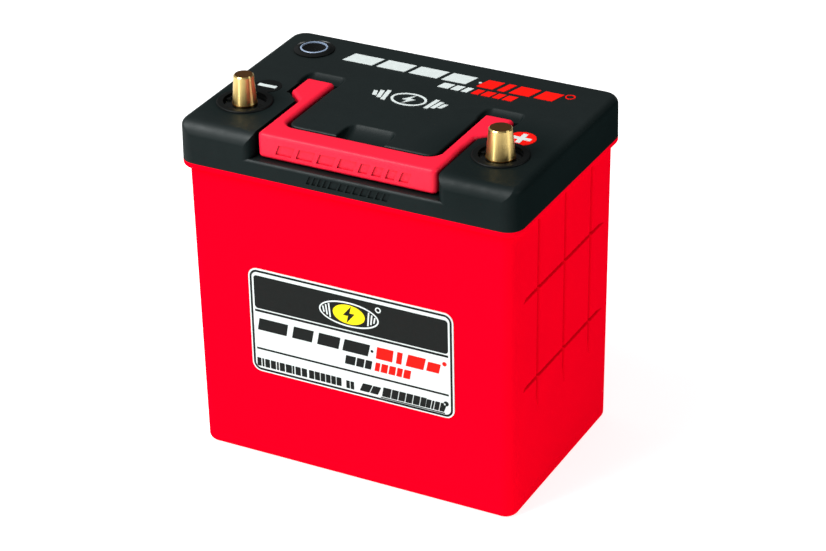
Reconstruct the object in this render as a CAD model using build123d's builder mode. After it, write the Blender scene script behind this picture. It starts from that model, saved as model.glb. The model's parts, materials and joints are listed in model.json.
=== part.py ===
from build123d import *
import os

# Lithium starter battery in a square automotive case: red tapered case, black
# cover, fold-up carrying handle, two tapered brass posts and a round push
# button. Millimetres, +Z up, +Y to the back. The origin is the middle of the
# underside.

# ---------------------------------------------------------------- case
battery_length = 187.0          # along X, over the flange
battery_depth = 125.0           # along Y, over the flange
flange_bottom = 160.5
cover_bottom = 164.2
cover_top = 186.0
foot_inset = 4.3                # wall set back from the flange, at the floor
shoulder_inset = 3.1            # the same, just under the flange
wall_radius = 7.0
flange_radius = 9.0
foot_round = 3.5
flange_round = 2.2
wall = 3.0
floor_thickness = 3.5
underside_recess = 1.0
underside_margin = 16.0
groove_pitch = 30.8             # upright grooves on the end walls
groove_rows = (70.0, 120.0)     # heights of the level grooves
groove_width = 6.0
groove_depth = 1.8
row_width = 4.2
row_depth = 1.5
groove_length = 111.0
groove_runout = 16.0
row_reach = 47.5
row_runout = 8.0

# ---------------------------------------------------------------- cover
cover_round = 4.0
brow_round = 7.0                # the front edge is rounder than the others
brow_setback = 0.2              # of the drafted front wall, where that round begins
cover_draft = 0.7               # degrees
cover_wall = 3.0
seal_inset = 0.6
seal_width = 1.8
seal_height = 1.2
channel_gap = 1.8               # between the handle and its channel
heel_gap = 3.0                  # behind the hinge blocks, where their heels turn
channel_edge = 1.2              # round on the rim of the channel, the scoop and the reliefs
channel_floor = 173.0
channel_front = -62.4           # where the channel runs out of the front face
channel_skin = 2.2
notch_flare = 5.0               # round where the channel leaves the front face
ledge_round = 1.6
pocket_floor = 171.5
relief_y = 9.0                  # scoops behind the hinge blocks
relief_radius = 14.0
relief_depth = 3.2
relief_side = 1.0
relief_end_round = 3.5
relief_reach = 7.0
relief_skin = 180.0
recess_y = -42.0                # finger scoop behind the grip
recess_radius = 22.0
recess_depth = 5.5
recess_half = 13.0
recess_end_round = 4.0
recess_reach = 17.0
emboss_depth = 0.7
emboss_x = -20.0
emboss_z = 169.0
emboss_bars = (2.0, 2.0, 2.0, 2.0, 4.5, 3.0, 3.0, 3.0, 3.4, 3.0, 2.6, 3.0)
emboss_height = 4.4
emboss_gap = 1.0
emboss_lean = 2.0

# ---------------------------------------------------------------- handle
handle_top = 186.8
handle_half = 49.0
handle_inner = 42.4
ear_half = 58.0
ear_front = -7.5
arm_start = -16.0
plan_corner = 3.0
plan_elbow = 4.0
plan_ear = 1.5
plan_inner = 7.0
block_rear = 9.0
grip_inner = -45.0
grip_front = -58.4
grip_bottom = 173.6
arm_bottom = 178.5
block_bottom = 174.5
hinge_y = 1.0
hinge_z = 180.5
handle_round = 2.2
grip_round = 2.0
heel_round = 4.0
edge_search = 0.01
relief_sink = 0.8
grip_bars = (9.0, 9.0, 9.0, 9.0, 5.0, 5.0, 5.0, 5.0)
grip_bars_x = -39.0
grip_bars_z = 179.6
grip_bars_height = 5.4
grip_bars_gap = 2.4
grip_bars_lean = 2.2
pin_radius = 2.0
pin_fit = 0.06
pin_inner = 37.6
pin_outer = 63.0

# pocket in the cover for each hinge block
pocket_width = ear_half - handle_inner + 2 * channel_gap
pocket_x = (ear_half + handle_inner) / 2
pocket_front = -10.0
pocket_depth = block_rear + heel_gap - pocket_front
pocket_y = (block_rear + heel_gap + pocket_front) / 2

# ---------------------------------------------------------------- terminals
post_y = -28.5
negative_x = -73.0
positive_x = 68.7
post_tip = 201.0
post_chamfer = 0.6
negative_base_radius = 6.2
negative_tip_radius = 5.15
positive_base_radius = 7.2
positive_tip_radius = 5.85
rim_top = 185.9
rim_overhang = 0.2
shank_radius = 5.0
shank_bottom = 166.5
shank_gap = 0.2
collar_radius = 14.3
collar_bore = 11.0
collar_seat = 183.0
collar_floor = 185.0
collar_dish = 183.6
collar_rim = 186.9
collar_round = 0.7
boss_wall = 2.0
boss_bottom = 180.0
washer_bottom = 178.5
lug_bottom = 176.5
post_nut_bottom = 168.5
washer_radius = 9.5
post_nut_radius = 9.2
o_ring_wire = 0.6
o_ring_gap = 0.05
collar_screw_offset = 9.2
collar_screw_head = 1.2
collar_screw_head_height = 0.9
collar_screw_shank = 0.8
collar_screw_length = 3.2
collar_screw_slot = 0.5
sign_y = -8.0
negative_sign_x = -71.8
positive_sign_x = 70.0
sign_disc_radius = 7.3
sign_disc_height = 0.2
sign_gap = 0.1
sign_height = 0.15
sign_length = 10.2
sign_bar = 2.6

# ---------------------------------------------------------------- button
button_x = -72.5
button_y = 41.7
bezel_radius = 10.65
bezel_lip_radius = 8.4
bezel_bore = 7.3
bezel_top = 187.3
gasket_radius = 10.2
gasket_top = 186.2
ring_bore = 6.46
ring_top = 187.5
cap_radius = 6.4
cap_top = 187.0
cap_bottom = 184.0
cap_dish = 0.5
stem_radius = 3.0
stem_bore = 3.06
stem_bottom = 174.0
stem_bore_bottom = 171.0
barrel_radius = 9.3
barrel_hole = 9.4
barrel_bottom = 158.0
barrel_seat = 180.0
button_nut_bottom = 179.0
button_nut_radius = 13.0
spring_wire = 0.3
spring_radius = 4.7
spring_turns = 4
spring_gap = 0.05
bezel_edge_top = 186.6
bezel_round = 0.4
ring_chamfer = 0.3
cap_chamfer = 0.3

# ---------------------------------------------------------------- front label and marks
label_length = 115.0
label_height = 59.6
label_centre_x = 0.4
label_centre_z = 81.4
label_thickness = 0.5
label_round = 5.0
mark_height = 0.2
top_row_x = -53.0
top_row_y = 41.4
top_row_height = 9.4
top_row_gap = 2.6
top_row_lean = 2.6
top_white_bars = (17.0, 16.0, 16.0, 13.6)
top_red_x = 23.5
top_red_bars = (9.0, 4.0, 11.0, 10.0)
top_second_x = 5.8
top_second_y = 30.9
second_row_height = 5.6
second_row_gap = 1.4
second_row_lean = 1.5
second_white_bars = (6.0, 4.4, 3.4)
top_second_red_x = 24.6
second_red_bars = (4.0, 5.0, 4.0, 5.2)
top_dot_x = 71.6
top_dot_y = 45.2
top_dot_radius = 2.6
top_dot_line = 0.6
emblem_y = 8.4
emblem_half_length = 9.6
emblem_half_height = 7.0
emblem_line = 1.3
emblem_blades = 3
emblem_blade_pitch = 3.1
emblem_blade_width = 2.3
emblem_blade_lean = 1.6
emblem_blade_step = 1.5
emblem_flash = 0.95
flash_outline = ((1.6, 5.4), (-3.6, -0.9), (-0.5, -0.9), (-1.6, -5.4), (3.6, 0.9), (0.5, 0.9))

# ---------------------------------------------------------------- cells
cell_count = 4
cell_length = 148.0
cell_thickness = 26.5
cell_height = 94.5
cell_round = 3.0
spacer_thickness = 0.8
base_pad_height = 3.0
cell_bottom = floor_thickness + base_pad_height
cell_top = cell_bottom + cell_height
cell_pitch = cell_thickness + spacer_thickness
stack_depth = cell_count * cell_thickness + (cell_count - 1) * spacer_thickness
terminal_x = 55.0
terminal_pad = 16.0
terminal_pad_height = 2.5
pad_corner = 2.0
terminal_top = cell_top + terminal_pad_height
bar_thickness = 2.0
bar_top = terminal_top + bar_thickness
bar_width = 16.0
stud_radius = 3.0
stud_top = bar_top + 6.5
stud_nut_height = 5.0
stud_nut_radius = 5.6
vent_length = 24.0
vent_width = 12.0
vent_depth = 0.5
band_thickness = 0.5
band_width = 12.0
band_heights = (34.0, 80.0)
end_pad_depth = 90.0
end_pad_thickness = 11.0
end_pad_top = 92.0

# ---------------------------------------------------------------- electronics
tray_bottom = 113.5
tray_top = 116.0
tray_length = 92.0
tray_depth = 100.0
tray_leg = 8.0
tray_leg_x = 42.0
tray_leg_y = 44.0
board_bottom = 122.0
board_top = 123.6
board_length = 88.0
board_front = -38.0
board_back = 46.0
standoff_x = 33.0
standoff_front = -34.0
standoff_back = 30.0
standoff_radius = 3.0
board_screw_radius = 1.5
board_screw_head = 2.8
board_screw_head_height = 2.0
transistor_rows = 2
transistors_per_row = 4
transistor_pitch_x = 13.0
transistor_pitch_y = 24.0
transistor_width = 10.0
transistor_depth = 9.0
transistor_height = 4.5
heat_sink_length = 56.0
heat_sink_depth = 36.0
heat_sink_base = 3.0
fin_height = 9.0
fin_thickness = 1.6
fin_count = 8
strap_thickness = 2.0
strap_top = board_top + strap_thickness
riser_x = 83.0
strap_shift = 4.0
lug_reach = 9.0
lug_width = 24.0
lug_shift = 1.5
board_pad_x = 32.0
output_y = -13.0
input_riser_y = 50.0
tray_slot_pitch = 15.0
tray_slot_count = 3
tray_slot_length = 50.0
tray_slot_width = 5.0
lead_radius = 0.8
sense_shift = 7.0
button_lead_gap = 2.0
button_lead_bend = 8.0
button_socket_x = 36.0
lead_bend = 5.0
sense_x = 57.0
sense_z = 126.2
socket_length = 6.0
socket_width = 8.0
socket_height = 5.0


os.makedirs("parts", exist_ok=True)


def upright(x, y):
    """Plane through the point (x, y), facing the front, with its local Y up."""
    return Plane(origin=(x, y, 0), x_dir=(1, 0, 0), z_dir=(0, -1, 0))


def wall_inset(z):
    """How far the tapered case wall stands back from the flange at height z."""
    return foot_inset + (shoulder_inset - foot_inset) * z / cover_bottom


def groove_cutter(width, depth, length, runout):
    """V-shaped cutter along +Z from the origin; local X points out of the wall.

    Over the run-out at its far end the groove rises to the surface.
    """
    with BuildPart() as cutter:
        with BuildSketch():
            Polygon((-depth, 0), (depth, -width), (depth, width), align=None)
        extrude(amount=length)
        with BuildSketch(Plane.XZ):
            Polygon((-depth, 0), (-depth, length - runout), (0, length), (depth, length), (depth, 0),
                    align=None)
        extrude(amount=width, both=True, mode=Mode.INTERSECT)
    return cutter.part


def handle_plan(grow=0.0):
    """The handle seen from above, a U with an ear at each end, grown all round by grow."""
    right = [(handle_half, grip_front), (handle_half, arm_start), (ear_half, ear_front),
             (ear_half, block_rear), (handle_inner, block_rear), (handle_inner, grip_inner)]
    left = [(-x, y) for x, y in reversed(right)]
    rounds = [plan_corner, plan_elbow, plan_ear, plan_ear, plan_ear, plan_inner]
    with BuildSketch() as plan:
        with BuildLine():
            FilletPolyline(*right, *left, radius=rounds + rounds[::-1], close=True)
        make_face()
        if grow:
            offset(amount=grow)
    return plan.sketch


def channel_plan():
    """The handle's channel seen from above, flared where it meets the front face."""
    with BuildSketch() as plan:
        add(handle_plan(channel_gap))
        with Locations((0, (channel_front + grip_inner) / 2)):
            Rectangle(2 * (handle_half + channel_gap), grip_inner - channel_front)
        with Locations((0, channel_front - notch_flare)):
            Rectangle(battery_length, 2 * notch_flare)
        mouth = plan.vertices().filter_by_position(Axis.Y, channel_front - edge_search,
                                                   channel_front + edge_search)
        fillet(mouth.filter_by_position(Axis.X, -ear_half, ear_half), notch_flare)
    return plan.sketch


def slanted_bars(widths, height, gap, lean, start):
    """Row of leaning bars along local X, for the marks and the reliefs."""
    left = start
    for bar in widths:
        Polygon((left, -height / 2), (left + bar, -height / 2), (left + bar + lean, height / 2),
                (left + lean, height / 2), align=None)
        left += bar + gap


def scoop(radius, half_length, end_round):
    """Round bar along X with rounded ends, which cuts a soft hollow in the cover."""
    with BuildPart() as bar:
        Cylinder(radius, 2 * half_length, rotation=(0, 90, 0))
        fillet(bar.edges().filter_by(GeomType.CIRCLE), end_round)
    return bar.part


# The collar of the case that the cover stands on, rounded below.
with BuildPart() as flange:
    with BuildSketch(Plane.XY.offset(flange_bottom)):
        RectangleRounded(battery_length, battery_depth, flange_radius)
    extrude(amount=cover_bottom - flange_bottom)
    fillet(flange.faces().sort_by(Axis.Z)[0].edges(), flange_round)

# The tapered tub with its flange. The wall leans out towards the flange.
with BuildPart() as case:
    with BuildSketch(Plane.XY):
        RectangleRounded(battery_length - 2 * foot_inset, battery_depth - 2 * foot_inset, wall_radius)
    with BuildSketch(Plane.XY.offset(cover_bottom)):
        RectangleRounded(battery_length - 2 * shoulder_inset, battery_depth - 2 * shoulder_inset,
                         wall_radius)
    loft()
    fillet(case.faces().sort_by(Axis.Z)[0].edges(), foot_round)
    add(flange.part)
    with BuildSketch(Plane.XY.offset(floor_thickness)):
        RectangleRounded(battery_length - 2 * (foot_inset + wall), battery_depth - 2 * (foot_inset + wall),
                         wall_radius - wall)
    with BuildSketch(Plane.XY.offset(cover_bottom)):
        RectangleRounded(battery_length - 2 * (shoulder_inset + wall),
                         battery_depth - 2 * (shoulder_inset + wall), wall_radius - wall)
    loft(mode=Mode.SUBTRACT)
    with BuildSketch(Plane.XY):
        RectangleRounded(battery_length - 2 * underside_margin, battery_depth - 2 * underside_margin,
                         wall_radius)
    extrude(amount=underside_recess, mode=Mode.SUBTRACT)
    with BuildSketch(Plane.XY.offset(cover_bottom - seal_height)):
        RectangleRounded(battery_length - 2 * seal_inset, battery_depth - 2 * seal_inset,
                         flange_radius - seal_inset)
        RectangleRounded(battery_length - 2 * (seal_inset + seal_width),
                         battery_depth - 2 * (seal_inset + seal_width),
                         flange_radius - seal_inset - seal_width, mode=Mode.SUBTRACT)
    extrude(amount=seal_height, mode=Mode.SUBTRACT)
    for side in (-1, 1):
        lean = (battery_length / 2 - wall_inset(0), battery_length / 2 - wall_inset(cover_bottom))
        down = Vector(side * (lean[0] - lean[1]), 0, -cover_bottom).normalized()
        outward = Vector(side * cover_bottom, 0, lean[0] - lean[1]).normalized()
        for step in (-1, 0, 1):
            start = (side * (battery_length / 2 - wall_inset(flange_bottom)), step * groove_pitch,
                     flange_bottom)
            with Locations(Plane(origin=start, x_dir=outward, z_dir=down)):
                add(groove_cutter(groove_width / 2, groove_depth, groove_length, groove_runout),
                    mode=Mode.SUBTRACT)
        for row in groove_rows:
            middle = (side * (battery_length / 2 - wall_inset(row)), 0, row)
            for along in (-1, 1):
                with Locations(Plane(origin=middle, x_dir=outward, z_dir=(0, along, 0))):
                    add(groove_cutter(row_width / 2, row_depth, row_reach, row_runout),
                        mode=Mode.SUBTRACT)
case.part.label = "case"
export_step(case.part, "parts/case.step")

# Rounds the front edge of the ledge under the grip.
with BuildPart() as ledge_cutter:
    with BuildSketch(Plane.XY.offset(channel_floor - ledge_round)):
        add(channel_plan())
    extrude(amount=ledge_round)
    with BuildSketch(Plane.YZ):
        with Locations((channel_front, channel_floor)):
            Rectangle(2 * ledge_round, 2 * ledge_round)
        with Locations((channel_front + ledge_round, channel_floor - ledge_round)):
            Circle(ledge_round, mode=Mode.SUBTRACT)
    extrude(amount=battery_length, both=True, mode=Mode.INTERSECT)

# Rounds the cover's front edge along its whole length.
with BuildPart() as brow_cutter:
    with BuildSketch(Plane.YZ):
        with Locations((-battery_depth / 2, cover_top)):
            Rectangle(2 * (brow_round + brow_setback), 2 * brow_round)
        with Locations((-battery_depth / 2 + brow_round + brow_setback, cover_top - brow_round)):
            Circle(brow_round, mode=Mode.SUBTRACT)
    extrude(amount=battery_length, both=True)

# The cover: a shell with a channel for the handle, open at the front, a
# finger scoop, reliefs behind the hinge blocks, two terminal wells and the
# button's hole.
with BuildPart() as cover:
    with BuildSketch(Plane.XY.offset(cover_bottom)):
        RectangleRounded(battery_length, battery_depth, flange_radius)
    extrude(amount=cover_top - cover_bottom, taper=cover_draft)
    fillet(cover.faces().sort_by(Axis.Z)[-1].edges(), cover_round)
    add(brow_cutter.part, mode=Mode.SUBTRACT)
    with BuildSketch(Plane.XY.offset(cover_bottom)):
        RectangleRounded(battery_length - 2 * cover_wall, battery_depth - 2 * cover_wall,
                         flange_radius - cover_wall)
    extrude(amount=cover_top - cover_wall - cover_bottom, taper=cover_draft, mode=Mode.SUBTRACT)
    # skin that hangs below the top and walls the channel in
    with BuildSketch(Plane.XY.offset(channel_floor - channel_skin)):
        add(handle_plan(channel_gap + channel_skin))
        with Locations((0, (channel_front + grip_inner) / 2)):
            Rectangle(2 * (handle_half + channel_gap + channel_skin), grip_inner - channel_front)
        RectangleRounded(battery_length - cover_wall, battery_depth - cover_wall, flange_radius,
                         mode=Mode.INTERSECT)
    extrude(until=Until.NEXT, dir=(0, 0, 1))
    for side in (-1, 1):
        with BuildSketch(Plane.XY.offset(pocket_floor - channel_skin)):
            with Locations((side * pocket_x, pocket_y)):
                Rectangle(pocket_width + 2 * channel_skin, pocket_depth + 2 * channel_skin)
        extrude(amount=cover_top - cover_wall - pocket_floor + channel_skin)
        with BuildSketch(Plane.XY.offset(relief_skin)):
            with Locations((side * pocket_x, block_rear + heel_gap + relief_reach / 2)):
                Rectangle(pocket_width + 2 * channel_skin, relief_reach + channel_skin)
        extrude(amount=cover_top - cover_wall - relief_skin)
    # floor under the finger scoop
    with BuildSketch(Plane.XY.offset(cover_top - recess_depth - channel_skin)):
        with Locations((0, recess_y + recess_reach / 2)):
            Rectangle(2 * (recess_half + channel_skin), recess_reach)
    extrude(amount=recess_depth + channel_skin - cover_wall)
    with BuildSketch(Plane.XY.offset(channel_floor)):
        add(channel_plan())
    extrude(amount=cover_top, mode=Mode.SUBTRACT)
    add(ledge_cutter.part, mode=Mode.SUBTRACT)
    for side in (-1, 1):
        with BuildSketch(Plane.XY.offset(pocket_floor)):
            with Locations((side * pocket_x, pocket_y)):
                Rectangle(pocket_width, pocket_depth)
        extrude(amount=cover_top - pocket_floor, mode=Mode.SUBTRACT)
        with Locations((side * pocket_x, relief_y, cover_top + relief_radius - relief_depth)):
            add(scoop(relief_radius, pocket_width / 2 + relief_side, relief_end_round), mode=Mode.SUBTRACT)
        # blind bore for the hinge pin, from the outer side
        with BuildSketch(Plane.YZ.offset(side * pin_inner)):
            with Locations((hinge_y, hinge_z)):
                Circle(pin_radius)
        extrude(amount=side * (pin_outer - pin_inner + channel_skin), mode=Mode.SUBTRACT)
    # finger scoop that falls towards the grip
    with Locations((0, recess_y, cover_top + recess_radius - recess_depth)):
        add(scoop(recess_radius, recess_half, recess_end_round), mode=Mode.SUBTRACT)
    rims = cover.edges().filter_by_position(Axis.Z, cover_top - edge_search, cover_top + edge_search)
    rims = rims.filter_by_position(Axis.X, -handle_inner, handle_inner)
    fillet(rims.filter_by_position(Axis.Y, grip_inner, relief_y + relief_reach), channel_edge)
    # terminal wells on hanging bosses
    for post_x in (negative_x, positive_x):
        with Locations((post_x, post_y, (boss_bottom + collar_seat) / 2)):
            Cylinder(collar_radius + boss_wall, collar_seat - boss_bottom)
        with Locations((post_x, post_y, (collar_seat + post_tip) / 2)):
            Cylinder(collar_radius, post_tip - collar_seat, mode=Mode.SUBTRACT)
        with Locations((post_x, post_y, cover_top)):
            Hole(shank_radius + shank_gap, cover_top - boss_bottom)
        for offset_x in (-collar_screw_offset, collar_screw_offset):
            with Locations((post_x + offset_x, post_y, collar_seat)):
                Hole(collar_screw_shank, collar_screw_length)
    with Locations((button_x, button_y, cover_top)):
        Hole(barrel_hole, cover_round)
    # leaning bars engraved low on the front face
    with BuildSketch(Plane.XZ.offset(battery_depth / 2 - emboss_depth)):
        with Locations((emboss_x, emboss_z)):
            slanted_bars(emboss_bars, emboss_height, emboss_gap, emboss_lean, 0)
    extrude(amount=battery_depth, mode=Mode.SUBTRACT)
cover.part.label = "cover"
export_step(cover.part, "parts/cover.step")

# Gasket between the case and the cover.
with BuildPart() as cover_seal:
    with BuildSketch(Plane.XY.offset(cover_bottom - seal_height)):
        RectangleRounded(battery_length - 2 * seal_inset, battery_depth - 2 * seal_inset,
                         flange_radius - seal_inset)
        RectangleRounded(battery_length - 2 * (seal_inset + seal_width),
                         battery_depth - 2 * (seal_inset + seal_width),
                         flange_radius - seal_inset - seal_width, mode=Mode.SUBTRACT)
    extrude(amount=seal_height)
cover_seal.part.label = "cover_seal"
export_step(cover_seal.part, "parts/cover_seal.step")

# The carrying handle: two arms on hinge blocks, joined by a deep grip.
with BuildPart() as carry_handle:
    with BuildSketch(Plane.XY.offset(arm_bottom)):
        add(handle_plan())
    extrude(amount=handle_top - arm_bottom)
    with BuildSketch(Plane.XY.offset(grip_bottom)):
        add(handle_plan())
        with Locations((0, (grip_front + grip_inner) / 2)):
            Rectangle(battery_length, grip_inner - grip_front, mode=Mode.INTERSECT)
    extrude(amount=arm_bottom - grip_bottom)
    with BuildSketch(Plane.XY.offset(block_bottom)):
        add(handle_plan())
        with Locations((0, block_rear)):
            Rectangle(battery_length, 2 * (block_rear - ear_front), mode=Mode.INTERSECT)
    extrude(amount=arm_bottom - block_bottom)
    with BuildSketch(Plane.YZ):
        with Locations((block_rear, block_bottom)):
            Rectangle(2 * heel_round, 2 * heel_round)
        with Locations((block_rear - heel_round, block_bottom + heel_round)):
            Circle(heel_round, mode=Mode.SUBTRACT)
    extrude(amount=battery_length, both=True, mode=Mode.SUBTRACT)
    top_edges = carry_handle.faces().sort_by(Axis.Z)[-1].edges()
    fillet(top_edges, handle_round)
    grip_edges = carry_handle.faces().filter_by_position(
        Axis.Z, grip_bottom - edge_search, grip_bottom + edge_search)[0].edges()
    fillet(grip_edges, grip_round)
    with BuildSketch(Plane.YZ.offset(-battery_length / 2)):
        with Locations((hinge_y, hinge_z)):
            Circle(pin_radius + pin_fit)
    extrude(amount=battery_length, mode=Mode.SUBTRACT)
    # leaning bars sunk into the front of the grip
    with BuildSketch(Plane.XZ.offset(-grip_front - relief_sink)):
        with Locations((grip_bars_x, grip_bars_z)):
            slanted_bars(grip_bars, grip_bars_height, grip_bars_gap, grip_bars_lean, 0)
    extrude(amount=battery_depth, mode=Mode.SUBTRACT)
carry_handle.part.label = "carry_handle"
export_step(carry_handle.part, "parts/carry_handle.step")

# One steel pin through each hinge block, held in the cover's pocket walls.
with BuildPart() as handle_pins:
    for side in (-1, 1):
        with BuildSketch(Plane.YZ.offset(side * pin_inner)):
            with Locations((hinge_y, hinge_z)):
                Circle(pin_radius)
        extrude(amount=side * (pin_outer - pin_inner))
handle_pins.part.label = "handle_pins"
export_step(handle_pins.part, "parts/handle_pins.step")


def tapered_post(x, base_radius, tip_radius):
    """Brass terminal post: taper, thin rim and threaded shank, turned in one piece."""
    with BuildPart() as post:
        with BuildSketch(upright(x, post_y)):
            Polygon((0, shank_bottom), (shank_radius, shank_bottom), (shank_radius, collar_floor),
                    (base_radius + rim_overhang, collar_floor), (base_radius + rim_overhang, rim_top),
                    (base_radius, rim_top), (tip_radius, post_tip - post_chamfer),
                    (tip_radius - post_chamfer, post_tip), (0, post_tip), align=None)
        revolve(axis=Axis((x, post_y, 0), (0, 0, 1)))
    return post.part


def terminal_collar(x):
    """Black insulating cup that the post stands in, fixed by two small screws."""
    with BuildPart() as collar:
        with Locations((x, post_y, (collar_seat + collar_rim) / 2)):
            Cylinder(collar_radius, collar_rim - collar_seat)
        fillet(collar.edges().sort_by(Axis.Z)[-1], collar_round)
        with Locations((x, post_y, (collar_floor + collar_rim) / 2)):
            Cylinder(collar_bore, collar_rim - collar_floor, mode=Mode.SUBTRACT)
        with Locations((x, post_y, (collar_dish + collar_floor) / 2)):
            Cylinder(shank_radius + 2 * (o_ring_wire + o_ring_gap), collar_floor - collar_dish,
                     mode=Mode.SUBTRACT)
        with Locations((x, post_y, collar_floor)):
            Hole(shank_radius, collar_floor - collar_seat)
        with Locations((x - collar_screw_offset, post_y, collar_floor),
                       (x + collar_screw_offset, post_y, collar_floor)):
            Hole(collar_screw_shank, collar_floor - collar_seat)
    return collar.part


with BuildPart() as negative_post:
    add(tapered_post(negative_x, negative_base_radius, negative_tip_radius))
negative_post.part.label = "negative_post"
export_step(negative_post.part, "parts/negative_post.step")

with BuildPart() as positive_post:
    add(tapered_post(positive_x, positive_base_radius, positive_tip_radius))
positive_post.part.label = "positive_post"
export_step(positive_post.part, "parts/positive_post.step")

with BuildPart() as negative_post_collar:
    add(terminal_collar(negative_x))
negative_post_collar.part.label = "negative_post_collar"
export_step(negative_post_collar.part, "parts/negative_post_collar.step")

with BuildPart() as positive_post_collar:
    add(terminal_collar(positive_x))
positive_post_collar.part.label = "positive_post_collar"
export_step(positive_post_collar.part, "parts/positive_post_collar.step")

# Four slotted screws, two in each collar.
with BuildPart() as collar_screws:
    for post_x in (negative_x, positive_x):
        for offset_x in (-collar_screw_offset, collar_screw_offset):
            with Locations((post_x + offset_x, post_y, collar_floor + collar_screw_head_height / 2)):
                Cylinder(collar_screw_head, collar_screw_head_height)
            with Locations((post_x + offset_x, post_y, collar_floor - collar_screw_length / 2)):
                Cylinder(collar_screw_shank, collar_screw_length)
            with Locations((post_x + offset_x, post_y, collar_floor + collar_screw_head_height)):
                Box(2 * collar_screw_head, collar_screw_slot, collar_screw_head_height,
                    mode=Mode.SUBTRACT)
collar_screws.part.label = "collar_screws"
export_step(collar_screws.part, "parts/collar_screws.step")

# Sealing ring round each post's shank, in the collar's counterbore.
with BuildPart() as post_o_rings:
    with Locations((negative_x, post_y, collar_dish + o_ring_wire + o_ring_gap),
                   (positive_x, post_y, collar_dish + o_ring_wire + o_ring_gap)):
        Torus(shank_radius + o_ring_wire + o_ring_gap, o_ring_wire)
post_o_rings.part.label = "post_o_rings"
export_step(post_o_rings.part, "parts/post_o_rings.step")

with BuildPart() as post_washers:
    for post_x in (negative_x, positive_x):
        with Locations((post_x, post_y, (boss_bottom + washer_bottom) / 2)):
            Cylinder(washer_radius, boss_bottom - washer_bottom)
            Cylinder(shank_radius, boss_bottom - washer_bottom, mode=Mode.SUBTRACT)
post_washers.part.label = "post_washers"
export_step(post_washers.part, "parts/post_washers.step")

with BuildPart() as post_nuts:
    with BuildSketch(Plane.XY.offset(post_nut_bottom)):
        with Locations((negative_x, post_y), (positive_x, post_y)):
            RegularPolygon(post_nut_radius, 6)
            Circle(shank_radius, mode=Mode.SUBTRACT)
    extrude(amount=lug_bottom - post_nut_bottom)
post_nuts.part.label = "post_nuts"
export_step(post_nuts.part, "parts/post_nuts.step")

# Polarity marks: a disc on the cover and the sign on the disc.
with BuildPart() as negative_disc:
    with BuildSketch(Plane.XY.offset(cover_top)):
        with Locations((negative_sign_x, sign_y)):
            Circle(sign_disc_radius)
        with Locations((negative_x, post_y)):
            Circle(collar_radius + sign_gap, mode=Mode.SUBTRACT)
    extrude(amount=sign_disc_height)
negative_disc.part.label = "negative_disc"
export_step(negative_disc.part, "parts/negative_disc.step")

with BuildPart() as positive_disc:
    with BuildSketch(Plane.XY.offset(cover_top)):
        with Locations((positive_sign_x, sign_y)):
            Circle(sign_disc_radius)
        with Locations((positive_x, post_y)):
            Circle(collar_radius + sign_gap, mode=Mode.SUBTRACT)
    extrude(amount=sign_disc_height)
positive_disc.part.label = "positive_disc"
export_step(positive_disc.part, "parts/positive_disc.step")

with BuildPart() as negative_sign:
    with Locations((negative_sign_x, sign_y, cover_top + sign_disc_height + sign_height / 2)):
        Box(sign_length, sign_bar, sign_height)
negative_sign.part.label = "negative_sign"
export_step(negative_sign.part, "parts/negative_sign.step")

with BuildPart() as positive_sign:
    with Locations((positive_sign_x, sign_y, cover_top + sign_disc_height + sign_height / 2)):
        Box(sign_length, sign_bar, sign_height)
        Box(sign_bar, sign_length, sign_height)
positive_sign.part.label = "positive_sign"
export_step(positive_sign.part, "parts/positive_sign.step")

# Marks on the cover's top: a row of leaning bars, a shorter row below it,
# and a plain oval badge with a lightning flash.
with BuildPart() as top_bars_white:
    with BuildSketch(Plane.XY.offset(cover_top)):
        with Locations((top_row_x, top_row_y)):
            slanted_bars(top_white_bars, top_row_height, top_row_gap, top_row_lean, 0)
        with Locations((top_second_x, top_second_y)):
            slanted_bars(second_white_bars, second_row_height, second_row_gap, second_row_lean, 0)
    extrude(amount=mark_height)
top_bars_white.part.label = "top_bars_white"
export_step(top_bars_white.part, "parts/top_bars_white.step")

with BuildPart() as top_bars_red:
    with BuildSketch(Plane.XY.offset(cover_top)):
        with Locations((top_red_x, top_row_y)):
            slanted_bars(top_red_bars, top_row_height, top_row_gap, top_row_lean, 0)
        with Locations((top_second_red_x, top_second_y)):
            slanted_bars(second_red_bars, second_row_height, second_row_gap, second_row_lean, 0)
        with Locations((top_dot_x, top_dot_y)):
            Circle(top_dot_radius)
            Circle(top_dot_radius - top_dot_line, mode=Mode.SUBTRACT)
    extrude(amount=mark_height)
top_bars_red.part.label = "top_bars_red"
export_step(top_bars_red.part, "parts/top_bars_red.step")

with BuildPart() as top_emblem:
    with BuildSketch(Plane.XY.offset(cover_top)):
        with Locations((0, emblem_y)):
            Ellipse(emblem_half_length, emblem_half_height)
            Ellipse(emblem_half_length - emblem_line, emblem_half_height - emblem_line,
                    mode=Mode.SUBTRACT)
            Polygon(*[(emblem_flash * x, emblem_flash * y) for x, y in flash_outline], align=None)
            for side in (-1, 1):
                for blade in range(emblem_blades):
                    near = emblem_half_length + emblem_line + blade * emblem_blade_pitch
                    half = emblem_half_height - (blade + 1) * emblem_blade_step
                    Polygon((side * near, -half), (side * (near + emblem_blade_width), -half),
                            (side * (near + emblem_blade_width + emblem_blade_lean), half),
                            (side * (near + emblem_blade_lean), half), align=None)
    extrude(amount=mark_height)
top_emblem.part.label = "top_emblem"
export_step(top_emblem.part, "parts/top_emblem.step")

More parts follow.
